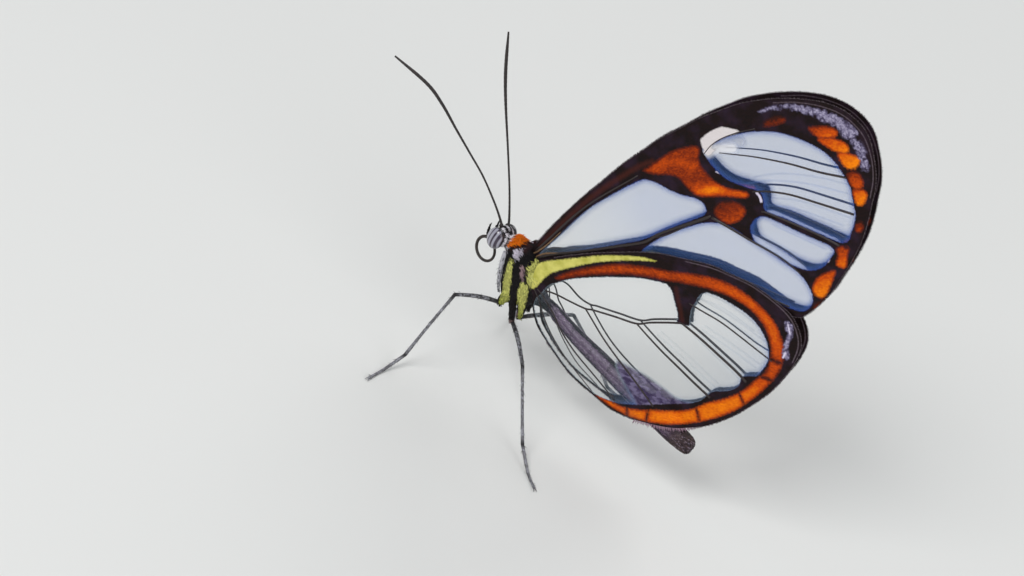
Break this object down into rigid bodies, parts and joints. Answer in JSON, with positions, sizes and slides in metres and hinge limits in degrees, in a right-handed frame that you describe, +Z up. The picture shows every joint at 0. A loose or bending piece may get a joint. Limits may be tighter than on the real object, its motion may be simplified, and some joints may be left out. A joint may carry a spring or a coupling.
{
  "type": "glasswing butterfly",
  "caption": "Life-size glasswing butterfly standing with its clear, orange-banded wings closed over its back, feelers spread and mouth tube coiled.",
  "frame": {"origin": "centre of the bounding box's base, on the floor under the standing butterfly", "axes": "-X is the way the head points, -Y is the insect's left and +Z is up"},
  "size_m": [0.0312, 0.0162, 0.0314],
  "materials": {
    "wing": "clear membrane between dark veins, with orange, yellow, lilac and white bands",
    "body_scales": "fine scales and hairs",
    "collar_scales": "long soft scales",
    "abdomen_scales": "fine scales with pale lines",
    "eye": "glossy, with dark upright stripes",
    "horn": "satin horn",
    "leg": "grey scales over black"
  },
  "bodies": {
    "root": {"head": "body_scales", "eye_left": "eye", "eye_right": "eye", "palp_left": "body_scales", "palp_right": "body_scales", "proboscis": "horn", "antenna_left": "horn", "antenna_right": "horn", "collar": "collar_scales", "thorax": "body_scales", "abdomen": "abdomen_scales", "forewing_left": "wing", "forewing_right": "wing", "hindwing_left": "wing", "hindwing_right": "wing", "foreleg_left": "leg", "foreleg_right": "leg", "femur_mid_left": "leg", "femur_mid_right": "leg", "femur_hind_left": "leg", "femur_hind_right": "leg", "tibia_mid_left": "leg", "tibia_mid_right": "leg", "tibia_hind_left": "leg", "tibia_hind_right": "leg", "tarsus_mid_left": "leg", "tarsus_mid_right": "leg", "tarsus_hind_left": "leg", "tarsus_hind_right": "leg"}
  },
  "joints": []
}
